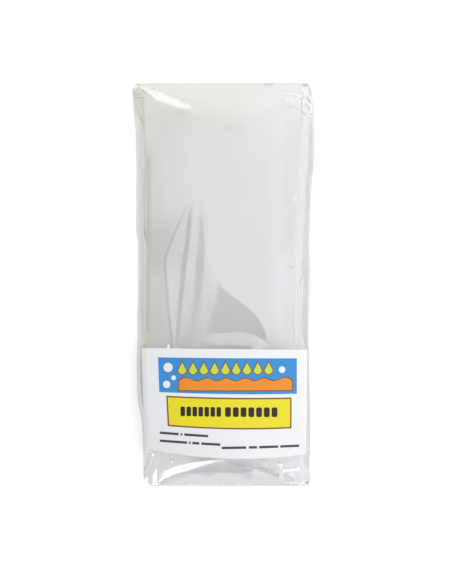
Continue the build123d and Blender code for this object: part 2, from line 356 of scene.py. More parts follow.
# Lines of the long leaf-shaped buckle, from left to right, as across, along and lift in mm.
leafLines = [
    [(-19.4, 43.9, 0), (-22.2, 39.5, 0), (-27.7, 27.3, 0), (-32.5, 14.9, 0), (-32.7, 10.8, 0),
     (-31.5, -5.1, 0), (-30.5, -16.8, 0), (-28.3, -34.0, 0), (-28.2, -36.0, 0)],
    [(-18.9, 43.9, 0), (-21.7, 39.5, 0.15), (-27.2, 27.3, 0.2), (-32.0, 14.9, 0.2), (-32.2, 10.8, 0.2),
     (-31.0, -5.1, 0.2), (-30.0, -16.8, 0.2), (-27.8, -34.0, 0.2), (-27.7, -36.0, 0)],
    [(-18.0, 44.2, 0), (-19.9, 37.0, -0.1), (-21.0, 24.6, -0.2), (-22.9, 10.8, -0.2),
     (-23.4, 3.9, -0.2), (-24.7, -9.7, -0.1), (-26.3, -34.0, 0.1), (-26.5, -36.0, 0)],
    [(-16.0, 44.5, 0), (-17.8, 37.0, 0.4), (-18.8, 24.6, 0.6), (-20.7, 10.8, 0.6), (-21.6, 3.9, 0.55),
     (-23.2, -9.7, 0.5), (-25.3, -34.0, 0.35), (-25.5, -36.0, 0)],
    [(-14.0, 44.5, 0), (-13.9, 32.8, 0), (-14.6, 22.0, -0.1), (-16.0, 10.8, -0.2), (-16.3, -6.9, 0),
     (-18.7, -22.4, 0.05), (-20.9, -34.5, 0), (-21.2, -36.0, 0)],
    [(-11.0, 44.5, 0), (-11.5, 36.2, 0.3), (-10.5, 21.8, 0.5), (-10.8, 10.8, 0.5), (-11.6, -0.3, 0.4),
     (-13.7, -8.6, 0.25), (-16.1, -18.5, 0.15), (-18.6, -34.5, 0.05), (-19.0, -36.0, 0)],
    [(-5.0, 44.5, 0), (-5.5, 30.0, 0), (-4.6, 12.0, 0), (-4.4, 6.9, 0), (-5.2, -3.0, 0),
     (-8.0, -13.5, 0), (-11.4, -26.8, 0), (-14.0, -36.0, 0)],
]

# Lines of the fin-shaped facet over the label, from foot to head: the label's edge, a dip
# before it, the facet's lower edge and the step up from it, and its long curved boundary.
finLines = [
    [(-17.0, -40.0, 0), (24.0, -40.0, 0)],
    [(-12.5, -35.2, 0), (-6.0, -35.2, -0.7), (2.0, -35.2, -1.3), (11.0, -35.2, -1.0),
     (18.0, -35.2, -0.2), (24.0, -35.2, 0)],
    [(-12.5, -33.2, 0), (-6.0, -33.2, -0.6), (2.0, -32.8, -1.1), (11.0, -33.2, -0.8), (24.0, -33.6, 0)],
    [(-12.5, -30.6, 0), (-7.0, -30.2, -0.5), (0.0, -30.0, -1.25), (10.0, -29.6, -1.1),
     (21.8, -31.9, -0.2), (24.0, -32.7, 0)],
    [(-17.0, -28.2, 0), (-12.5, -27.8, 0), (-8.0, -27.2, -0.7), (0.0, -26.6, -1.9),
     (10.0, -26.0, -1.7), (16.0, -27.6, -1.3), (20.6, -30.2, -0.8), (23.0, -31.0, 0)],
    [(-17.0, -8.0, 0), (-10.5, 0.0, 0), (-6.4, 2.4, 0), (-4.0, 3.0, 0), (-1.4, -1.9, 0), (7.9, -9.1, 0),
     (14.0, -14.0, 0), (17.4, -17.4, 0), (20.2, -22.0, 0), (22.2, -27.5, 0), (23.0, -30.5, 0)],
]

# Ridges and grooves: half width, lift, which is below 0 for a groove, and path, all in mm.
creases = [
    (1.0, 0.14, [(40.6, 105.0), (40.9, 60.0), (41.2, 20.0), (42.2, 12.0), (41.0, 4.0), (41.4, -36.0)]),
    (1.0, -0.14, [(43.0, 92.0), (43.4, 40.0), (43.2, 14.0), (44.0, 8.0), (43.0, -4.0), (42.8, -34.0)]),
    (0.9, 0.1, [(38.0, 24.0), (38.6, -36.0)]),
    (1.2, 0.12, [(34.2, 11.0), (37.0, 10.0), (41.0, 12.4)]),
    (1.4, 0.3, [(35.0, 99.6), (37.4, 100.4), (42.6, 103.8)]),
    (1.2, 0.3, [(45.0, 103.6), (48.4, 100.4)]),
    (1.0, 0.3, [(44.0, 101.0), (43.0, 95.6), (47.6, 92.6)]),
    (0.8, -0.15, [(41.9, 103.0), (41.6, 76.0)]),
    (1.0, 0.25, [(41.4, -101.8), (33.4, -102.0), (30.4, -104.6), (30.4, -106.6), (32.8, -108.8),
        (45.6, -110.2)]),
    (0.7, 0.25, [(-39.8, -91.0), (-39.9, -103.0), (-39.4, -109.0)]),
]

# Hairline folds, too fine for a form of their own: half width in mm, whether the fold is a painted
# highlight (white) or painted shade (dark), how much so, and its path in mm.
hairlines = [
    # painted highlights and painted shade on the crumpled corner at the left of the mouth
    (0.55, "white", 0.85, [(-45.6, 108.6), (-43.2, 106.2), (-41.2, 104.4), (-38.6, 102.8)]),
    (0.45, "white", 0.8, [(-45.0, 109.0), (-41.2, 108.8), (-38.4, 107.8), (-35.6, 106.2)]),
    (0.35, "white", 0.45, [(-42.6, 108.0), (-41.0, 106.4), (-39.8, 104.8)]),
    (0.35, "white", 0.5, [(-40.2, 108.0), (-40.6, 106.8), (-38.9, 106.6), (-38.0, 105.2),
        (-36.2, 105.0)]),
    (0.45, "white", 0.5, [(-38.4, 104.8), (-35.8, 103.6), (-34.4, 102.6)]),
    (0.35, "dark", 0.7, [(-45.8, 107.6), (-43.6, 105.4), (-42.8, 104.6)]),
    (0.4, "dark", 0.6, [(-41.6, 107.6), (-41.3, 106.4)]),
    (0.3, "dark", 0.45, [(-39.6, 106.2), (-37.4, 104.4), (-36.2, 104.0)]),
    (0.5, "white", 0.7, [(-48.8, 103.2), (-45.2, 103.4)]),
    # painted highlights and painted shade on the crumpled corner at its right
    (0.45, "white", 0.6, [(32.8, 104.6), (36.6, 104.6), (41.4, 103.8)]),
    (0.75, "white", 0.85, [(42.4, 103.8), (39.8, 102.2), (35.6, 100.4)]),
    (0.55, "white", 0.65, [(35.2, 103.0), (35.2, 100.8), (37.4, 99.0), (40.6, 97.0)]),
    (3.8, "white", 0.55, [(36.4, 100.6), (39.6, 100.4)]),
    (1.0, "white", 0.7, [(43.4, 108.0), (44.1, 104.0)]),
    (0.6, "dark", 0.4, [(37.6, 102.6), (41.0, 102.4)]),
    (0.5, "white", 0.95, [(44.2, 106.0), (46.0, 103.6), (48.6, 100.6)]),
    (0.5, "white", 0.7, [(48.3, 108.6), (48.3, 105.0)]),
    (0.8, "dark", 0.35, [(46.9, 107.6), (47.2, 104.4)]),
    (0.5, "white", 0.95, [(43.9, 101.6), (42.8, 96.4), (43.4, 95.2), (46.2, 93.2), (47.9, 92.2)]),
    (0.45, "white", 0.9, [(43.9, 101.6), (46.2, 99.2), (47.8, 98.0), (47.8, 95.4), (46.8, 94.6),
        (44.0, 96.4)]),
    (0.35, "white", 0.5, [(44.8, 105.0), (44.2, 102.6)]),
    (0.7, "dark", 0.6, [(45.8, 103.0), (47.2, 100.4)]),
    (0.7, "dark", 0.5, [(45.0, 99.4), (46.8, 96.8)]),
    (0.4, "dark", 0.6, [(44.4, 95.0), (46.6, 93.6)]),
    (0.45, "dark", 0.5, [(42.4, 103.0), (42.3, 94.6)]),
    (0.6, "dark", 0.3, [(42.3, 94.6), (41.7, 86.0), (41.4, 77.0)]),
    (0.6, "white", 0.6, [(43.2, 91.6), (44.0, 91.6)]),
    # painted highlights and painted shade along the right side
    (0.4, "white", 0.2, [(42.2, 63.0), (42.2, 47.0)]),
    (0.4, "white", 0.18, [(40.4, 32.6), (40.6, 12.4)]),
    (0.4, "dark", 0.6, [(42.2, 12.4), (43.0, 8.0), (42.2, 3.6), (41.4, 0.0), (41.4, -10.2)]),
    (0.35, "white", 0.5, [(40.8, -0.4), (40.8, -10.2)]),
    (0.8, "dark", 0.5, [(44.8, -29.0), (44.6, -36.0)]),
    # painted shade along the leaf's outer edge
    (0.3, "dark", 0.25, [(-20.4, 42.0), (-27.7, 27.3), (-32.4, 14.9), (-32.7, 10.8), (-31.5, -5.1),
        (-30.5, -16.8), (-28.3, -34.0)]),
    # painted highlights over the label and at the foot
    (1.3, "white", 0.8, [(-30.2, -33.4), (-30.4, -34.3)]),
    (0.4, "white", 0.5, [(-40.2, -91.0), (-40.0, -104.0)]),
    (1.3, "white", 0.9, [(-28.9, -96.8), (-28.6, -96.8)]),
    (0.7, "white", 0.85, [(22.9, -97.6), (22.9, -98.4)]),
    (0.8, "white", 0.95, [(29.0, -98.0), (31.4, -98.2), (30.4, -99.6)]),
    (0.75, "white", 1.0, [(40.2, -100.2), (41.0, -101.6), (37.4, -101.8), (33.4, -102.0),
        (30.6, -103.4), (29.9, -105.4), (30.9, -107.4), (33.2, -108.8), (38.6, -109.2),
        (46.0, -110.4)]),
    (0.9, "white", 0.8, [(32.6, -101.6), (40.0, -101.2)]),
    (1.6, "white", 0.25, [(36.0, -103.6), (38.8, -105.8)]),
    (0.8, "white", 0.9, [(-38.6, -110.0), (-36.8, -107.8), (-34.6, -105.6)]),
    (0.9, "white", 0.45, [(-35.0, -110.5), (14.0, -110.5)]),
]

# Patches of painted shade and painted light on the film, in place of mirrored shade and light: outline in
# mm, softness of its edge in mm, the tint or painted paleness that it adds, and the share of painted
# paleness that it takes off.
patches = [
    # painted dark reflection on the fin over the label, and painted shade on the band under it and in the
    # soft hollow beside it
    {"outline": [(-10.5, -27.8), (0.0, -27.2), (10.0, -26.4), (21.4, -30.8), (22.0, -27.5),
                 (20.2, -22.0), (17.4, -17.4), (14.0, -14.0), (7.9, -9.1), (-1.4, -1.9), (-2.8, 2.0),
                 (-4.8, -8.0), (-7.2, -15.0), (-9.6, -24.0)], "edge": 0.9, "tint": (0.93, 0.93, 0.935)},
    {"outline": [(-13.0, -27.6), (0.0, -27.0), (12.0, -26.6), (20.0, -30.2), (14.0, -35.6),
                 (-13.0, -35.6)], "edge": 0.8, "tint": (0.91, 0.91, 0.9)},
    {"outline": [(-42.0, 34.0), (-20.0, 40.0), (-10.0, 36.0), (-8.0, 20.0), (-6.0, -28.0),
                 (-23.0, -36.0), (-24.0, -8.0), (-26.0, 5.0), (-34.0, 8.0), (-42.0, 10.0)],
     "edge": 8.0, "tint": (0.9, 0.9, 0.905)},
    # faint tints, green under the mouth and warm over the middle, and painted lit spots in the leaf
    {"outline": [(-48.0, 112.0), (20.0, 112.0), (12.0, 94.0), (-4.0, 86.0), (-24.0, 84.0),
                 (-48.0, 92.0)], "edge": 7.0, "tint": (0.985, 0.99, 0.945)},
    {"outline": [(-14.0, 82.0), (14.0, 86.0), (38.0, 70.0), (38.0, 20.0), (24.0, -6.0), (4.0, 4.0),
                 (-10.0, 40.0)], "edge": 8.0, "tint": (0.985, 0.967, 0.978)},
    {"outline": [(-29.0, 4.0), (-25.6, 4.0), (-25.6, -4.0), (-29.0, -4.0)], "edge": 2.4, "paintedLight": 0.18},
    {"outline": [(-29.4, -6.0), (-26.2, -6.0), (-26.6, -13.0), (-29.2, -13.0)],
     "edge": 2.4, "paintedLight": 0.18},
    # painted soft shade under the mouth, and painted shade in its dark top corners
    {"outline": [(-26.0, 96.0), (-19.0, 95.4), (-20.0, 92.0), (-26.0, 92.4)],
     "edge": 2.6, "tint": (0.93, 0.93, 0.91)},
    {"outline": [(0.0, 88.0), (9.0, 88.4), (9.0, 83.6), (1.0, 83.6)],
     "edge": 4.0, "tint": (0.95, 0.95, 0.94)},
    {"outline": [(-50.0, 109.6), (-45.4, 109.4), (-43.4, 104.8), (-44.6, 102.6), (-50.0, 103.0)],
     "edge": 1.2, "tint": (0.93, 0.94, 0.9)},
    {"outline": [(-48.0, 110.8), (-46.4, 110.8), (-46.0, 109.0), (-48.0, 109.0)],
     "edge": 0.7, "tint": (0.8, 0.81, 0.76)},
    {"outline": [(43.0, 110.9), (46.2, 110.9), (45.6, 109.2), (43.2, 109.2)],
     "edge": 0.6, "tint": (0.62, 0.62, 0.6)},
    {"outline": [(22.0, 110.6), (26.6, 110.9), (26.8, 109.6), (22.0, 109.4)],
     "edge": 0.6, "tint": (0.8, 0.81, 0.76)},
    # painted shade in strips along the right and the left side, with one strip of painted light on the
    # right of the front
    {"outline": [(45.6, 88.0), (47.6, 88.0), (47.4, 40.0), (45.0, 40.0)],
     "edge": 0.9, "tint": (0.92, 0.93, 0.86)},
    {"outline": [(44.2, 12.0), (46.0, 12.0), (45.6, -36.0), (44.0, -36.0)],
     "edge": 0.8, "tint": (0.94, 0.95, 0.89)},
    {"outline": [(-46.9, 92.0), (-43.7, 92.0), (-43.5, -34.0), (-46.6, -34.0)],
     "edge": 0.8, "tint": (0.87, 0.88, 0.835)},
    {"outline": [(-49.6, 103.4), (-43.9, 103.4), (-43.8, 91.4), (-47.0, 91.4)],
     "edge": 0.7, "tint": (0.93, 0.94, 0.895)},
    {"outline": [(-45.2, 64.0), (-41.0, 70.0), (-40.4, -34.0), (-45.0, -34.0)],
     "edge": 0.9, "tint": (0.945, 0.955, 0.91)},
    {"outline": [(37.4, 104.0), (43.0, 104.0), (42.0, 97.0), (38.6, 98.0)],
     "edge": 1.4, "tint": (0.92, 0.92, 0.9)},
    {"outline": [(33.0, 90.0), (40.6, 90.0), (40.6, 19.0), (33.0, 19.0)],
     "edge": 3.0, "tint": (0.965, 0.965, 0.965)},
    {"outline": [(33.5, 12.0), (39.5, 12.0), (39.5, -35.0), (33.5, -35.0)],
     "edge": 2.0, "tint": (0.975, 0.968, 1.0)},
    {"outline": [(25.0, 12.0), (32.5, 14.0), (32.5, -33.0), (27.0, -30.0)],
     "edge": 2.4, "tint": (1.03, 1.02, 1.06)},
    {"outline": [(-47.0, -2.0), (-42.6, 14.0), (-42.6, -35.0), (-47.0, -35.0)],
     "edge": 1.0, "tint": (0.91, 0.915, 0.89)},
    # painted light on the pale rim down the right side
    {"outline": [(48.2, 108.0), (52.0, 108.0), (52.0, 60.0), (48.6, 60.0)], "edge": 0.8, "paintedLight": 0.5},
    {"outline": [(46.6, 60.0), (52.0, 60.0), (52.0, -35.0), (45.4, -35.0), (45.9, 20.0)],
     "edge": 0.8, "paintedLight": 0.5},
    # a small painted glow, and a band of painted light along the right of the front
    {"outline": [(37.4, 48.2), (38.8, 48.2), (38.8, 45.4), (37.4, 45.4)], "edge": 1.0, "paintedLight": 0.5},
    {"outline": [(26.0, 16.0), (31.0, 18.0), (40.0, 12.0), (39.0, -34.0), (27.0, -30.0), (24.0, -6.0)],
     "edge": 4.0, "paintedLight": 0.12},
    # the foot: painted light all over and in a brighter patch, taken off again at its right, and a painted
    # dark reflection where the film folds in under the label
    {"outline": [(-17.0, -102.6), (30.0, -101.0), (46.0, -92.0), (46.0, -111.0), (-34.0, -111.0)],
     "edge": 1.6, "paintedLight": 0.6, "tint": (0.97, 0.98, 1.02)},
    {"outline": [(15.4, -98.6), (26.4, -104.6), (24.0, -106.4), (15.6, -105.4)],
     "edge": 1.2, "paintedLight": 0.7},
    {"outline": [(29.0, -92.0), (50.0, -92.0), (50.0, -103.4), (33.0, -103.0)],
     "edge": 1.4, "clear": 0.6},
    {"outline": [(32.6, -103.4), (50.0, -103.4), (50.0, -109.0), (33.6, -107.6)],
     "edge": 1.0, "clear": 0.7, "tint": (0.98, 0.98, 1.02)},
    {"outline": [(-19.0, -102.0), (-13.5, -99.2), (-8.0, -97.6), (-1.4, -95.4), (11.8, -94.8),
                 (18.4, -98.1), (25.0, -100.9), (30.5, -104.2), (29.4, -105.8), (26.0, -103.5),
                 (21.6, -101.2), (16.4, -98.7), (14.2, -102.0), (14.8, -106.2), (13.0, -106.6),
                 (10.7, -104.7), (6.3, -103.6), (0.3, -102.5), (-5.2, -102.5), (-8.0, -104.7),
                 (-11.8, -104.2), (-16.2, -102.5)],
     "edge": 1.3, "clear": 0.9, "tint": (0.88, 0.91, 0.98)},
]


def columnsAt(rows, y):
    # every column of a table after the first, as smooth curves over the first
    places, *columns = zip(*rows)
    return [curveThrough(places, column, y) for column in columns]


def labelShare(y):
    # 1 along the label, where the film's sides are held steeper
    return smooth(*film["labelTop"], y) * smooth(*film["labelFoot"], y)


def puffedTop(x, y):
    # the top of the puffed bag: a crowned front, turning down steeply at both sides
    left, right = columnsAt(film["outline"], y)
    crown, crease = columnsAt(film["heights"], y)
    halfFront = (left + right) / 2 - film["frontInset"]
    fall = np.clip(((x - (right - left) / 2) / halfFront) ** 2, 0, film["mostFall"])
    front = crown - (crown - crease) * fall
    reachIn = np.minimum(x + left, right - x)
    farAbove = 9
    sides = {}
    for name in ("leftSide", "rightSide", "headSide", "labelSide"):
        places, shares = zip(*film[name])
        share = np.where(reachIn < places[-1], curveThrough(places, shares, reachIn), farAbove)
        sides[name] = softMin(front, crease * share, film["sideRound"])
    nearMouth = smooth(*film["headRun"], y)
    leftHalf = sides["leftSide"] + (sides["headSide"] - sides["leftSide"]) * nearMouth
    top = np.where(x < 0, leftHalf, sides["rightSide"])
    return top + (sides["labelSide"] - top) * labelShare(y)


def endFacets(x, y):
    reachIn = halfLength + y
    foot = film["lip"] + film["footSteep"] * reachIn
    turns = (("footBreak", "footSteep", "footGentle"), ("bandBreak", "footGentle", "footBand"))
    for line, before, after in turns:
        places, reaches = zip(*film[line])
        past = reachIn - curveThrough(places, reaches, x)
        past = (past + np.sqrt(past**2 + film["footEase"] ** 2)) / 2
        foot = foot - (film[before] - film[after]) * past
    rows, reachIn = film["mouthFacet"], halfLength - y
    mouth = curveThrough(*zip(*rows), reachIn)
    return foot, mouth + np.clip(reachIn - rows[-1][0], 0, None)


def foldRelief(lines, along, across, alongAxis=1):
    # straight facets between neighbouring lines, which all run the same way
    acrossAxis = 1 - alongAxis
    spots, lifts = [], []
    for line in lines:
        points = sorted(line, key=lambda point: point[alongAxis])
        places = [point[alongAxis] for point in points]
        spots.append(np.interp(along, places, [point[acrossAxis] for point in points]))
        lifts.append(np.interp(along, places, [point[2] for point in points]))
    relief = np.zeros(along.shape)
    for spot, lift, nextSpot, nextLift in zip(spots, lifts, spots[1:], lifts[1:]):
        share = (across - spot) / np.maximum(nextSpot - spot, 0.001)
        inside = (share >= 0) & (share < 1)
        relief = np.where(inside, lift + (nextLift - lift) * share, relief)
    return relief


def soften(height):
    height = np.pad(height, 1, mode="edge")
    height = (height[:-2] + 2 * height[1:-1] + height[2:]) / 4
    return (height[:, :-2] + 2 * height[:, 1:-1] + height[:, 2:]) / 4


def buckleRelief(x, y):
    relief = foldRelief(leafLines, y, x) + foldRelief(finLines, x, y, alongAxis=0)
    for half, lift, path in creases:
        away, place = distanceTo(path, x, y)
        fade = smooth(0, film["creaseEnds"], place) * smooth(1, 1 - film["creaseEnds"], place)
        relief = relief + lift * np.clip(1 - away / half, 0, 1) * fade
    nearEnd = np.maximum(smooth(*film["calmFoot"], y), smooth(*film["calmMouth"], y))
    waves = ripple(x, y, film["rippleSeed"], film["rippleSize"], film["rippleStretch"])
    return soften(relief + film["rippleHeight"] * (1 - film["calm"] * nearEnd) * waves)


def softPolygon(x, y, outline, edge):
    # 1 well inside an outline, 0 well outside it
    inside = np.zeros(x.shape, bool)
    closed = outline + outline[:1]
    for (ax, ay), (bx, by) in zip(closed, closed[1:]):
        crosses = (ay > y) != (by > y)
        inside ^= crosses & (x < (bx - ax) * (y - ay) / (by - ay + 1e-9) + ax)
    away, _ = distanceTo(closed, x, y)
    return smooth(-edge, edge, np.where(inside, away, -away))


def patchMasks(x, y):
    # painted shade and light: a tint for what shows through, and a painted paleness
    tint = np.ones(x.shape + (4,))
    paintedLight = np.zeros(x.shape)
    for patch in patches:
        share = softPolygon(x, y, patch["outline"], patch["edge"])
        if "tint" in patch:
            tint[..., :3] *= 1 - share[..., None] * (1 - np.array(patch["tint"]))
        paintedLight = np.maximum(paintedLight * (1 - share * patch.get("clear", 0)), share * patch.get("paintedLight", 0))
    return tint, paintedLight


def underLabelCap(x, y, z):
    # how far the film has to go down at each place to stay under the label
    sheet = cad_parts["label_sheet"]
    corners = [sheet.matrix_world @ vertex.co for vertex in sheet.data.vertices]
    tree = BVHTree.FromPolygons(corners, [tuple(polygon.vertices) for polygon in sheet.data.polygons])
    lower = np.zeros(z.shape)
    below, up = -0.01, Vector((0, 0, 1))
    lows, highs = np.min(corners, axis=0) / mm, np.max(corners, axis=0) / mm
    inside = (x > lows[0]) & (x < highs[0]) & (y > lows[1]) & (y < highs[1])
    for spot in zip(*np.nonzero(inside)):
        hit = tree.ray_cast(Vector((x[spot] * mm, y[spot] * mm, below)), up)[0]
        if hit is not None:
            lower[spot] = max(0, z[spot] - (hit.z / mm - film["labelClear"]))
    return lower


def ringPlaces():
    # rings stand closer where the film shows than under the label
    share = np.linspace(0, 1, film["rings"])
    return np.interp(share, *zip(*film["ringShares"]))


def filmGrid():
    y = ringPlaces()[:, None]
    cut = np.clip(film["footCornerCut"] - (y + halfLength), 0, None)
    left, right = columnsAt(film["outline"], y)
    left = left - cut
    crease = columnsAt(film["heights"], y)[1]
    share = np.linspace(-1, 1, film["topSteps"] + 1)[None, :]
    share = share * (1 + film["crowding"] * (1 - share**2))
    topX = (right - left) / 2 - (left + right) / 2 * share
    topY = np.broadcast_to(y, topX.shape)
    foot, mouth = endFacets(topX, topY)
    topZ = softMin(puffedTop(topX, topY), foot, np.interp(topX, *zip(*film["footRound"])))
    topZ = softMin(topZ, mouth, film["mouthRound"])
    topZ = topZ + buckleRelief(topX, topY)
    topZ = topZ - underLabelCap(topX, topY, topZ + film["backClear"])
    openEdge, labelEdge = film["leftSide"][0][1], film["labelSide"][0][1]
    edgeShare = openEdge + (labelEdge - openEdge) * labelShare(y)
    edgeZ = np.minimum(edgeShare * crease, np.minimum(foot[:, :1], mouth[:, :1]))
    topZ[:, :1] = edgeZ
    topZ[:, -1:] = edgeZ
    under = np.linspace(0, 1, film["underSteps"] + 1)[None, 1:]
    tuck = film["backInset"] * (1 - np.sqrt(1 - under**2))
    underZ = edgeZ * (1 - under)
    backShare = np.linspace(0, 1, film["backSteps"] + 2)[None, 1:-1]
    backEdge = film["backInset"]
    backX = -left + backEdge + backShare * (left + right - 2 * backEdge)
    x = np.concatenate([topX, -left + tuck, backX, (right - tuck)[:, ::-1]], axis=1)
    z = np.concatenate([topZ, underZ, np.zeros(backX.shape), underZ[:, ::-1]], axis=1)
    y = np.broadcast_to(y, x.shape)
    return x, y, np.maximum(z, 0) + film["backClear"]


def makeFilmBag():
    x, y, z = filmGrid()
    ringCount, loopCount = x.shape
    points = np.stack([x, y, z], axis=-1).reshape(-1, 3) * mm
    faces = []
    for ring in range(ringCount - 1):
        first, second = ring * loopCount, (ring + 1) * loopCount
        for step in range(loopCount):
            follow = (step + 1) % loopCount
            faces.append((first + step, first + follow, second + follow, second + step))
    last = (ringCount - 1) * loopCount
    faces.append(tuple(range(loopCount - 1, -1, -1)))
    faces.append(tuple(range(last, last + loopCount)))
    piece = meshPiece("film", points, faces)
    isTop = np.arange(loopCount)[None, :] <= film["topSteps"]
    # painted shade and light from the patches, on the top of the film only
    tint, paintedLight = patchMasks(x, y)
    tint = np.where(isTop[..., None], tint, 1.0)
    for name, kind, field, values in (
        ("paintedLightAndShade", "FLOAT_COLOR", "color", tint), ("paintedLight", "FLOAT", "value", paintedLight * isTop),
    ):
        attribute = piece.data.attributes.new(name, kind, "POINT")
        attribute.data.foreach_set(field, values.astype(np.float32).ravel())
    return piece


def hairlineMasks(tree):
    # the strongest painted highlight and the strongest painted shade of all hairline folds at a place
    coords = addNode(tree, "ShaderNodeTexCoord")
    wobble = addNode(tree, "ShaderNodeTexNoise", Scale=film["waverScale"], Detail=1.0)
    tree.links.new(coords.outputs["Object"], wobble.inputs["Vector"])
    offset = vectorNode(tree, "SUBTRACT", wobble.outputs["Color"], (0.5, 0.5, 0.5)).outputs[0]
    offset = vectorNode(tree, "MULTIPLY", offset, (film["waver"], film["waver"], 0)).outputs[0]
    place = vectorNode(tree, "MULTIPLY", coords.outputs["Object"], (1, 1, 0)).outputs[0]
    place = vectorNode(tree, "ADD", place, offset).outputs[0]
    masks = {"white": None, "dark": None}
    for half, tone, strength, path in hairlines:
        for (ax, ay), (bx, by) in zip(path, path[1:]):
            fold = placeGroup(tree, hairline, {
                "Start": (ax * mm, ay * mm, 0), "Run": ((bx - ax) * mm, (by - ay) * mm, 0),
                "Half Width": half * mm, "Strength": strength,
            })
            tree.links.new(place, fold.inputs["Place"])
            mask = fold.outputs["Mask"]
            masks[tone] = mask if masks[tone] is None else mathNode(tree, "MAXIMUM", masks[tone], mask)
    return masks["white"], masks["dark"]


def makeFilmMaterial():
    material, tree, shader = newMaterial("clearFilm")
    shader.inputs["Roughness"].default_value = film["roughness"]
    shader.inputs["IOR"].default_value = film["ior"]
    ripples = placeGroup(tree, filmRipples, {
        "Wave Size": film["waveSize"], "Wave Height": film["waveHeight"],
        "Peel Height": film["peelHeight"],
    })
    addBump(tree, shader, ripples.outputs["Height"], 1.0, 1.0)
    facing = addNode(tree, "ShaderNodeLayerWeight", Blend=0.5)
    turned = mathNode(tree, "POWER", facing.outputs["Facing"], 2.0)
    # painted highlights along the white hairline folds, and painted shade along the dark ones
    white, dark = hairlineMasks(tree)
    # painted light from the patches
    paintedLight = addNode(tree, "ShaderNodeAttribute", attribute_name="paintedLight").outputs["Fac"]
    # painted shade, light and tints from the patches
    paintedLightAndShade = addNode(tree, "ShaderNodeAttribute", attribute_name="paintedLightAndShade").outputs["Color"]
    cover = film["cover"]
    for share, most in ((turned, "edgeCover"), (paintedLight, "paintedLightCover"), (white, "paintedGlintCover")):
        cover = mathNode(tree, "ADD", mathNode(tree, "MULTIPLY", share, film[most]), cover)
    cover = mathNode(tree, "MINIMUM", cover, film["mostCover"])
    # a white fold, painted as a highlight, clouds the film sooner than it covers it, so that no dark rim
    # is mirrored
    firm = mathNode(tree, "MINIMUM", mathNode(tree, "MULTIPLY", white, film["paintedGlintClouds"]), 1.0)
    paintedPale = mathNode(tree, "MAXIMUM", firm, paintedLight)
    mirror = mathNode(tree, "MULTIPLY", mathNode(tree, "SUBTRACT", 1.0, paintedPale), film["mirror"])
    tree.links.new(mirror, shader.inputs["Metallic"])
    shade = mapRange(tree, paintedPale, 0, 1, low=film["clearShade"], high=film["paintedPaleShade"])
    tree.links.new(shade, shader.inputs["Base Color"])
    clear = addNode(tree, "ShaderNodeBsdfTransparent")
    tint = film["clearTint"]
    # what shows through darkens at a slant, and along the dark hairline folds as painted shade
    for colour, share in ((film["edgeTint"], turned), (film["paintedCreaseShade"], dark)):
        step = addNode(tree, "ShaderNodeMix", data_type="RGBA")
        if isinstance(tint, tuple):
            step.inputs[6].default_value = tint
        else:
            tree.links.new(tint, step.inputs[6])
        step.inputs[7].default_value = colour
        tree.links.new(share, step.inputs["Factor"])
        tint = step.outputs[2]
    # the patches' painted shade, light and tints colour what shows through
    tint = vectorNode(tree, "MULTIPLY", tint, paintedLightAndShade).outputs[0]
    tree.links.new(tint, clear.inputs["Color"])
    mix = addNode(tree, "ShaderNodeMixShader")
    tree.links.new(cover, mix.inputs["Fac"])
    tree.links.new(clear.outputs[0], mix.inputs[1])
    tree.links.new(shader.outputs[0], mix.inputs[2])
    tree.links.new(mix.outputs[0], tree.nodes["Material Output"].inputs["Surface"])
    return material


filmPiece = makeFilmBag()
filmPiece.data.materials.append(makeFilmMaterial())
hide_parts("film_bag")
print("film bag made,", len(filmPiece.data.polygons), "faces")


label = {
    "paper": (0.85, 0.86, 0.88, 1), "blue": (0.040, 0.27, 0.66, 1), "lime": (0.60, 0.68, 0.06, 1),
    "orange": (0.85, 0.27, 0.02, 1), "brown": (0.22, 0.09, 0.03, 1), "yellow": (0.84, 0.72, 0.018, 1),
    "dark": (0.03, 0.022, 0.015, 1), "grey": (0.07, 0.07, 0.075, 1),
    "bumpDistance": 0.00004, "bumpStrength": 0.5, "specular": 0.2, "coatRoughness": 0.25,
}


def makePaperMaterial(name, colour, shade, gloss):
    material, tree, shader = newMaterial(name)
    grain = placeGroup(tree, paperGrain, {"Colour": colour, "Shade": shade})
    addBump(tree, shader, grain.outputs["Height"], label["bumpDistance"], label["bumpStrength"])
    tree.links.new(grain.outputs["Colour"], shader.inputs["Base Color"])
    tree.links.new(grain.outputs["Roughness"], shader.inputs["Roughness"])
    shader.inputs["Specular IOR Level"].default_value = label["specular"]
    shader.inputs["Coat Weight"].default_value = gloss
    shader.inputs["Coat Roughness"].default_value = label["coatRoughness"]
    return material


# Colour, depth of the grain and gloss of each node of the label.
finishes = {
    "label_sheet": ("paper", 0.03, 0.0), "print_banner": ("blue", 0.10, 0.05),
    "print_bubbles": ("paper", 0.03, 0.05), "print_motif_edges": ("brown", 0.08, 0.15),
    "print_drops": ("lime", 0.08, 0.15), "print_wave": ("orange", 0.08, 0.05),
    "print_title_border": ("brown", 0.08, 0.15), "print_title_panel": ("yellow", 0.05, 0.03),
    "print_title_blocks": ("dark", 0.1, 0.15), "print_small_bars": ("grey", 0.1, 0.1),
}
for nodeName, (tone, shade, gloss) in finishes.items():
    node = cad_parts[nodeName]
    node.data.materials.clear()
    node.data.materials.append(makePaperMaterial(nodeName + "Finish", label[tone], shade, gloss))
print("label finished")


stage = {
    "floorHalf": 1.5, "floorDrop": 0.0002, "floorShade": 0.56, "floorGlow": 0.56,
    "floorRoughness": 0.9, "floorSpecular": 0.1, "worldLight": 0.46,
}


def seenDirectly(tree):
    # 1 for the camera and for what the film mirrors or lets through, 0 for the light on a piece
    path = addNode(tree, "ShaderNodeLightPath").outputs
    seen = mathNode(tree, "MAXIMUM", path["Is Camera Ray"], path["Is Glossy Ray"])
    return mathNode(tree, "MAXIMUM", seen, path["Is Transmission Ray"])


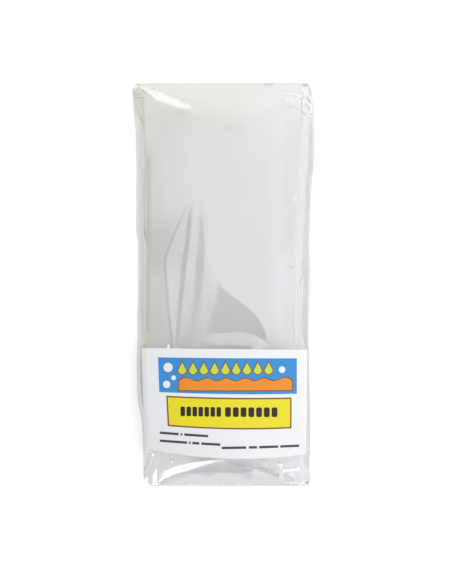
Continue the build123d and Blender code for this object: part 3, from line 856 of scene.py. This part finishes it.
def makeFloor():
    half, drop = stage["floorHalf"], stage["floorDrop"]
    signs = ((-1, -1), (1, -1), (1, 1), (-1, 1))
    mesh = bpy.data.meshes.new("floor")
    mesh.from_pydata([(across * half, along * half, -drop) for across, along in signs], [], [(0, 1, 2, 3)])
    piece = newObject("floor", mesh)
    material, tree, shader = newMaterial("whiteFloor")
    shader.inputs["Base Color"].default_value = (stage["floorShade"],) * 3 + (1,)
    shader.inputs["Roughness"].default_value = stage["floorRoughness"]
    shader.inputs["Specular IOR Level"].default_value = stage["floorSpecular"]
    glow = addNode(tree, "ShaderNodeEmission")
    strength = mathNode(tree, "MULTIPLY", seenDirectly(tree), stage["floorGlow"])
    tree.links.new(strength, glow.inputs["Strength"])
    both = addNode(tree, "ShaderNodeAddShader")
    tree.links.new(shader.outputs[0], both.inputs[0])
    tree.links.new(glow.outputs[0], both.inputs[1])
    tree.links.new(both.outputs[0], tree.nodes["Material Output"].inputs["Surface"])
    mesh.materials.append(material)


def makeWorld():
    world = bpy.data.worlds.new("studio")
    bpy.context.scene.world = world
    world.use_nodes = True
    tree = world.node_tree
    background = tree.nodes["Background"]
    background.inputs["Color"].default_value = (1, 1, 1, 1)
    level = mapRange(tree, seenDirectly(tree), 0, 1, low=stage["worldLight"])
    tree.links.new(level, background.inputs["Strength"])


def areaLamp(name, place, size, power, colour=(1, 1, 1)):
    # a softbox that faces the middle of the bag, and that the film doesn't mirror
    lamp = bpy.data.lights.new(name, "AREA")
    lamp.shape = "RECTANGLE"
    lamp.size, lamp.size_y = size
    lamp.energy = power
    lamp.color = colour
    holder = newObject(name, lamp)
    holder.location = place
    holder.rotation_euler = (-Vector(place)).to_track_quat("-Z", "Y").to_euler()
    holder.visible_glossy = False


tent = {
    # what the film mirrors: direction across the bag against light, then a factor along the bag
    "radius": 1.3, "segments": 64, "foot": -0.01,
    "level": 1.6, "brightest": 1.2, "leanAcross": 0.95, "leanAlong": 0.45,
    "across": [(-0.60, (0.10, 0.10, 0.085)), (-0.36, (0.14, 0.14, 0.12)),
               (-0.20, (0.47, 0.47, 0.45)), (0.0, (0.66, 0.65, 0.655)), (0.25, (0.74, 0.74, 0.75)),
               (0.42, (0.86, 0.86, 0.88)), (0.9, (1.0, 1.0, 1.02))],
    "along": [(-1.0, (1.2, 1.2, 1.2)), (-0.4, (1.0, 1.0, 1.0)), (0.0, (1.0, 1.0, 1.0)),
              (0.3, (1.05, 1.05, 1.04)), (0.6, (1.2, 1.2, 1.17)), (0.85, (1.2, 1.2, 1.16)),
              (1.0, (1.2, 1.2, 1.16))],
    # windows and flags: middle and half size across and along, softness of the edge, and light
    # added or share kept
    "windows": [
        {"middle": (-0.28, 0.725), "half": (0.12, 0.185), "soft": 0.35, "light": (1.4, 1.4, 1.2)},
        {"middle": (-0.27, -0.84), "half": (0.25, 0.11), "soft": 0.25, "light": (3.2, 3.2, 3.2)},
        {"middle": (-0.62, -0.60), "half": (0.36, 0.22), "soft": 0.25, "light": (1.1, 1.1, 1.07)},
        {"middle": (-0.95, -0.32), "half": (0.08, 0.15), "soft": 0.4, "light": (0.5, 0.5, 0.48)},
        {"middle": (0.2, -1.0), "half": (0.75, 0.055), "soft": 0.3, "light": (0.5, 0.51, 0.57)},
        {"middle": (0.12, -0.84), "half": (0.12, 0.07), "soft": 0.4, "light": (0.5, 0.5, 0.52)},
        {"middle": (0.42, -0.62), "half": (0.40, 0.20), "soft": 0.4, "light": (0.35, 0.35, 0.4)},
        {"middle": (-0.97, 0.27), "half": (0.09, 0.22), "soft": 0.3, "light": (0.5, 0.5, 0.46)},
        {"middle": (-0.78, 0.46), "half": (0.34, 0.20), "soft": 0.3, "light": (0.5, 0.5, 0.45)},
    ],
    "flags": [
        {"middle": (0.0, -0.29), "half": (0.34, 0.25), "soft": 0.2, "kept": (0.32, 0.32, 0.33)},
    ],
}


def shadeRamp(tree, value, stops):
    # stops from -1 to 1, with every colour as a share of the brightest, since a ramp ends at 1
    ramp = addNode(tree, "ShaderNodeValToRGB")
    elements = ramp.color_ramp.elements
    while len(elements) < len(stops):
        elements.new(0.5)
    for element, (place, colour) in zip(elements, stops):
        element.position = (place + 1) / 2
        element.color = (*[channel / tent["brightest"] for channel in colour], 1)
    tree.links.new(mapRange(tree, value, -1, 1), ramp.inputs["Fac"])
    return ramp.outputs["Color"]


def softBox(tree, axes, box):
    # 1 inside a rectangle of directions, falling softly to 0 past its edges
    shares = []
    for axis, middle, half in zip("XY", box["middle"], box["half"]):
        away = mathNode(tree, "ABSOLUTE", mathNode(tree, "SUBTRACT", axes.outputs[axis], middle))
        outer, inner = half * (1 + box["soft"]), half * (1 - box["soft"])
        shares.append(mapRange(tree, away, outer, inner, soft=True))
    return mathNode(tree, "MULTIPLY", *shares)


def makeTent():
    # a light tent round the table, seen only in the film's gloss
    shell = bmesh.new()
    segments = tent["segments"]
    bmesh.ops.create_uvsphere(
        shell, u_segments=segments, v_segments=segments // 2, radius=tent["radius"]
    )
    low = [vertex for vertex in shell.verts if vertex.co.z < tent["foot"]]
    bmesh.ops.delete(shell, geom=low, context="VERTS")
    mesh = bpy.data.meshes.new("lightTent")
    shell.to_mesh(mesh)
    shell.free()
    piece = newObject("lightTent", mesh)
    material, tree, shader = newMaterial("tentCloth")
    tree.nodes.remove(shader)
    coords = addNode(tree, "ShaderNodeTexCoord")
    towards = addNode(tree, "ShaderNodeVectorMath", operation="NORMALIZE")
    tree.links.new(coords.outputs["Object"], towards.inputs[0])
    axes = addNode(tree, "ShaderNodeSeparateXYZ")
    tree.links.new(towards.outputs[0], axes.inputs[0])
    leaning = (tent["leanAcross"], tent["leanAlong"], 0)
    lean = vectorNode(tree, "DOT_PRODUCT", towards.outputs[0], leaning)
    across = shadeRamp(tree, lean.outputs["Value"], tent["across"])
    along = shadeRamp(tree, axes.outputs["Y"], tent["along"])
    light = vectorNode(tree, "MULTIPLY", across, along).outputs[0]
    level = tent["level"] * tent["brightest"] ** 2
    light = vectorNode(tree, "MULTIPLY", light, (level,) * 3).outputs[0]
    for flag in tent["flags"]:
        kept = addNode(tree, "ShaderNodeMix", data_type="RGBA", blend_type="MULTIPLY")
        tree.links.new(softBox(tree, axes, flag), kept.inputs["Factor"])
        tree.links.new(light, kept.inputs[6])
        kept.inputs[7].default_value = (*flag["kept"], 1)
        light = kept.outputs[2]
    for window in tent["windows"]:
        glow = addNode(tree, "ShaderNodeVectorMath", operation="SCALE")
        glow.inputs[0].default_value = window["light"]
        tree.links.new(softBox(tree, axes, window), glow.inputs["Scale"])
        light = vectorNode(tree, "ADD", light, glow.outputs[0]).outputs[0]
    cloth = addNode(tree, "ShaderNodeEmission")
    tree.links.new(light, cloth.inputs["Color"])
    tree.links.new(cloth.outputs[0], tree.nodes["Material Output"].inputs["Surface"])
    mesh.materials.append(material)
    piece.visible_camera = False
    piece.visible_diffuse = False
    piece.visible_shadow = False
    piece.visible_transmission = False


makeFloor()
makeWorld()
makeTent()
areaLamp("softboxRight", (0.60, 0.10, 0.60), (0.6, 0.8), 3.8, (0.97, 0.98, 1.0))
areaLamp("softboxOver", (0.10, -0.10, 1.0), (1.0, 1.0), 2.75)
areaLamp("fillLeft", (-0.70, 0.0, 0.60), (0.6, 0.8), 0.5)

# The camera looks straight down, and its frame covers this much from foot to head.
framing = {"height": 0.75, "covers": 0.3224, "across": 0.0008, "along": -0.0041, "sensor": 36}
camera = newObject("camera", bpy.data.cameras.new("camera"))
camera.location = (framing["across"], framing["along"], framing["height"])
camera.data.sensor_width = framing["sensor"]
camera.data.lens = framing["sensor"] * framing["height"] / framing["covers"]

scene = bpy.context.scene
scene.camera = camera
scene.view_settings.view_transform = "Standard"
print("stage set")
